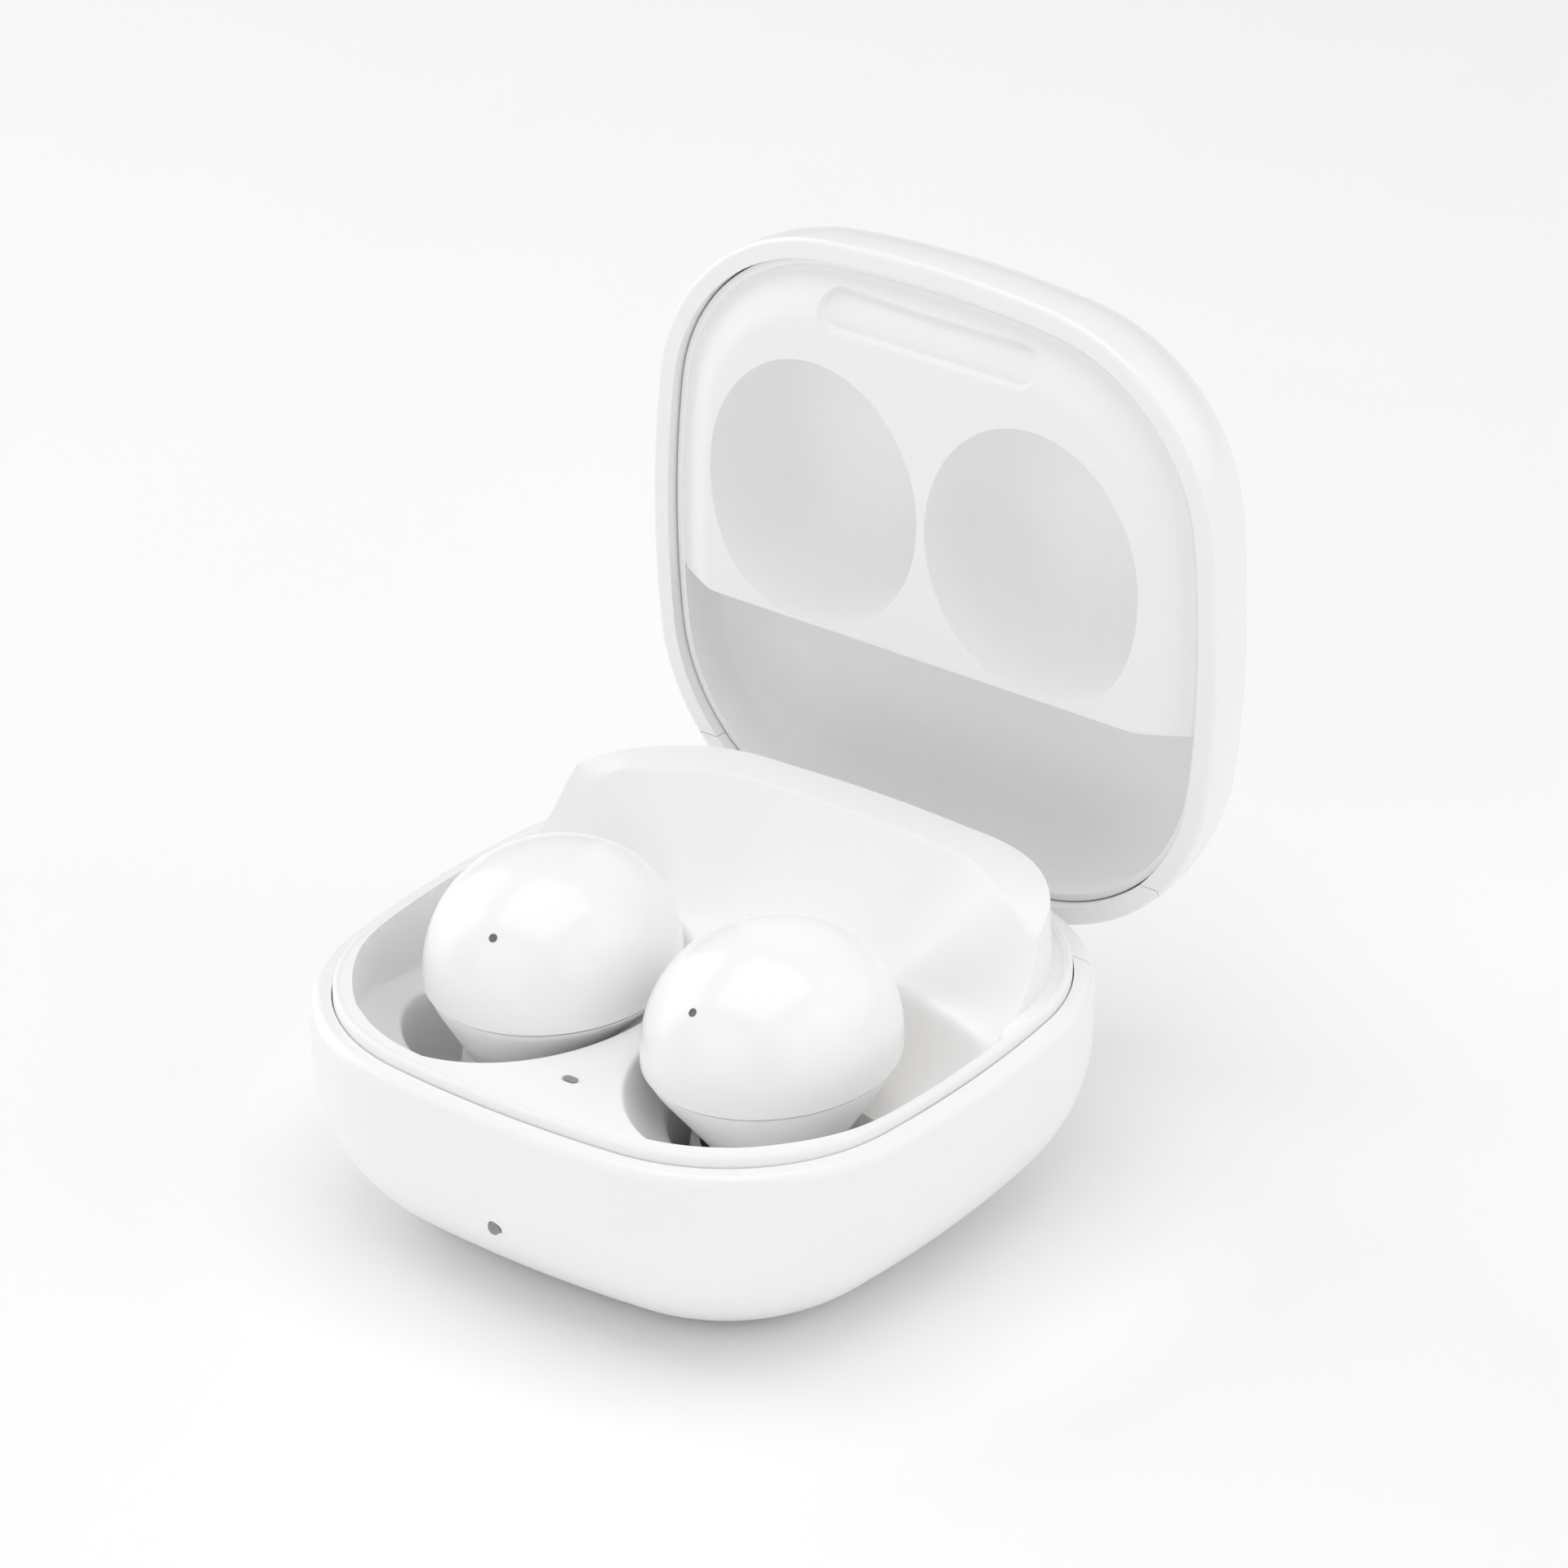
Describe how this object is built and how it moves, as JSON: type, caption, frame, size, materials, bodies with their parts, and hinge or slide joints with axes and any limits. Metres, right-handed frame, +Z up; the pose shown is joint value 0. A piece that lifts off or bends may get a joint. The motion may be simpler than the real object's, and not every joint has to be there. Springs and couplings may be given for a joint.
{
  "type": "wireless earbuds case",
  "caption": "Pocket charging case for wireless earbuds: rounded square base with a raised rear hump, a hinged lid, and removable earbuds in sprung-pin cradles.",
  "frame": {"origin": "centre of the base's flat underside", "axes": "+X to the right, -Y to the front where the status light is, +Z up; the lid is hinged at +Y and stands open at rest"},
  "size_m": [0.05, 0.0624, 0.0624],
  "materials": {
    "shell_white": "smooth satin gloss moulded cover, white",
    "tray_white": "fine matt moulded plastic, white",
    "dome_pearl": "high gloss, white",
    "housing_white": "soft matt, white",
    "silicone": "soft silicone, white",
    "lens": "smoked clear light guide",
    "gold_plate": "gold plated",
    "black_plastic": "glass filled plastic",
    "steel": "plain steel",
    "dark_mesh": "fine woven metal mesh",
    "magnet_plate": "nickel plated",
    "flex_amber": "polyimide film",
    "cell_foil": "foil pouch",
    "board_green": "solder mask",
    "copper": "enamelled wire winding",
    "ferrite": "ferrite sheet",
    "gasket_grey": "silicone seal"
  },
  "bodies": {
    "base": {"base_closing_magnets": "magnet_plate", "base_shell": "shell_white", "battery": "cell_foil", "battery_lead": "flex_amber", "board_chips": "black_plastic", "charging_coil": "copper", "cradle_magnets": "magnet_plate", "ferrite_sheet": "ferrite", "front_status_lens": "lens", "hall_sensor": "black_plastic", "hinge_bracket": "tray_white", "hinge_cover": "shell_white", "hinge_detent_spring": "steel", "hinge_pin": "steel", "lamp_flex": "flex_amber", "main_circuit_board": "board_green", "pogo_barrels": "gold_plate", "pogo_block_left": "black_plastic", "pogo_block_right": "black_plastic", "pogo_spring_left_inner": "steel", "pogo_spring_left_outer": "steel", "pogo_spring_right_inner": "steel", "pogo_spring_right_outer": "steel", "tray": "tray_white", "tray_status_lens": "lens", "usb_port_gasket": "gasket_grey", "usb_port_shell": "steel", "usb_port_tongue": "black_plastic"},
    "lid": {"lid_closing_magnets": "magnet_plate", "lid_hinge_leaf": "tray_white", "lid_hinge_screws": "steel", "lid_liner": "tray_white", "lid_shell": "shell_white"},
    "earbud_left": {"earbud_battery_left": "cell_foil", "earbud_circuit_board_left": "board_green", "earbud_contacts_left": "gold_plate", "earbud_dome_left": "dome_pearl", "earbud_housing_left": "housing_white", "earbud_magnet_left": "magnet_plate", "earbud_mic_mesh_left": "dark_mesh", "earbud_nozzle_mesh_left": "dark_mesh", "earbud_speaker_left": "steel", "earbud_tip_left": "silicone", "earbud_touch_pad_left": "flex_amber"},
    "earbud_right": {"earbud_battery_right": "cell_foil", "earbud_circuit_board_right": "board_green", "earbud_contacts_right": "gold_plate", "earbud_dome_right": "dome_pearl", "earbud_housing_right": "housing_white", "earbud_magnet_right": "magnet_plate", "earbud_mic_mesh_right": "dark_mesh", "earbud_nozzle_mesh_right": "dark_mesh", "earbud_speaker_right": "steel", "earbud_tip_right": "silicone", "earbud_touch_pad_right": "flex_amber"},
    "pin_left_outer": {"pogo_pin_left_outer": "gold_plate"},
    "pin_left_inner": {"pogo_pin_left_inner": "gold_plate"},
    "pin_right_outer": {"pogo_pin_right_outer": "gold_plate"},
    "pin_right_inner": {"pogo_pin_right_inner": "gold_plate"}
  },
  "joints": [
    {"name": "lid_hinge", "type": "hinge", "parent": "base", "child": "lid", "pos_m": [0, 0.0235, 0.0139], "axis": [1, 0, 0], "range_deg": [0, 90]},
    {"name": "earbud_left_lift", "type": "slide", "parent": "base", "child": "earbud_left", "axis": [0, 0, 1], "range_m": [0, 0.026]},
    {"name": "earbud_right_lift", "type": "slide", "parent": "base", "child": "earbud_right", "axis": [0, 0, 1], "range_m": [0, 0.026]},
    {"name": "pin_left_outer_press", "type": "slide", "parent": "base", "child": "pin_left_outer", "axis": [0, 0, 1], "range_m": [-0.0006, 0], "stiffness_N_per_m": 150, "springref_m": 0.0006, "deforming": ["pogo_spring_left_outer"]},
    {"name": "pin_left_inner_press", "type": "slide", "parent": "base", "child": "pin_left_inner", "axis": [0, 0, 1], "range_m": [-0.0006, 0], "stiffness_N_per_m": 150, "springref_m": 0.0006, "deforming": ["pogo_spring_left_inner"]},
    {"name": "pin_right_outer_press", "type": "slide", "parent": "base", "child": "pin_right_outer", "axis": [0, 0, 1], "range_m": [-0.0006, 0], "stiffness_N_per_m": 150, "springref_m": 0.0006, "deforming": ["pogo_spring_right_outer"]},
    {"name": "pin_right_inner_press", "type": "slide", "parent": "base", "child": "pin_right_inner", "axis": [0, 0, 1], "range_m": [-0.0006, 0], "stiffness_N_per_m": 150, "springref_m": 0.0006, "deforming": ["pogo_spring_right_inner"]}
  ]
}
